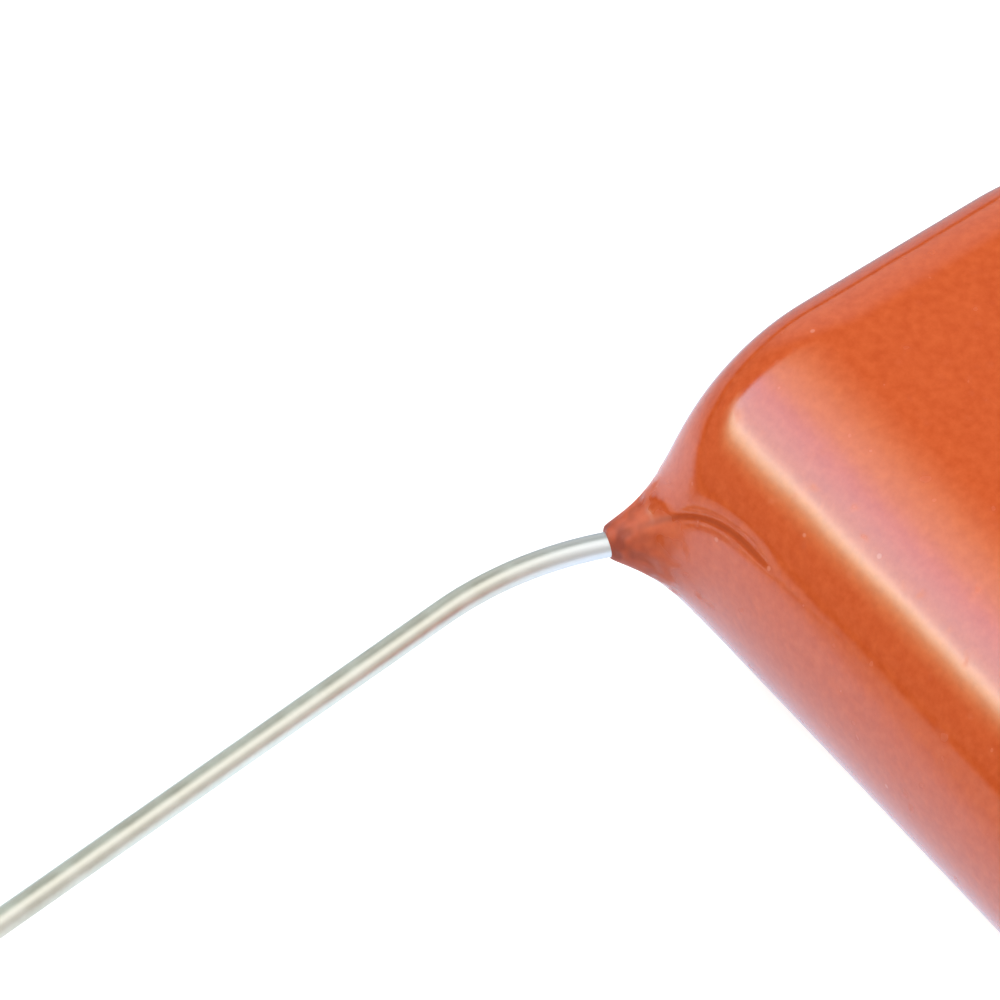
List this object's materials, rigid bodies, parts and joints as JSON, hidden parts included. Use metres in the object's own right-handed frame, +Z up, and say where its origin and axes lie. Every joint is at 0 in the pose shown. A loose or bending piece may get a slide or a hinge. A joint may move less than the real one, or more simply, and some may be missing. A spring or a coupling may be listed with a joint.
{
  "type": "polyester film capacitor",
  "caption": "Radial-lead film capacitor: a flat wound film element with sprayed metal ends and soldered wire leads, dipped in glossy orange epoxy.",
  "frame": {"origin": "centre of the large flat face that the body lies on", "axes": "+X across the body from the left lead to the right lead, +Y from the leads to the top of the body, +Z up through the thickness"},
  "size_m": [0.0286, 0.0448, 0.0132],
  "materials": {
    "epoxy_coat": "gloss",
    "plain_film": "satin",
    "metallised_film": "satin",
    "sprayed_metal": "matte",
    "solder": "satin",
    "tinned_wire": "satin"
  },
  "bodies": {
    "root": {"epoxy_coat": "epoxy_coat", "cover_wrap": "plain_film", "film_winding": "metallised_film", "end_spray_left": "sprayed_metal", "end_spray_right": "sprayed_metal", "solder_left": "solder", "solder_right": "solder", "lead_left": "tinned_wire", "lead_right": "tinned_wire"}
  },
  "joints": []
}
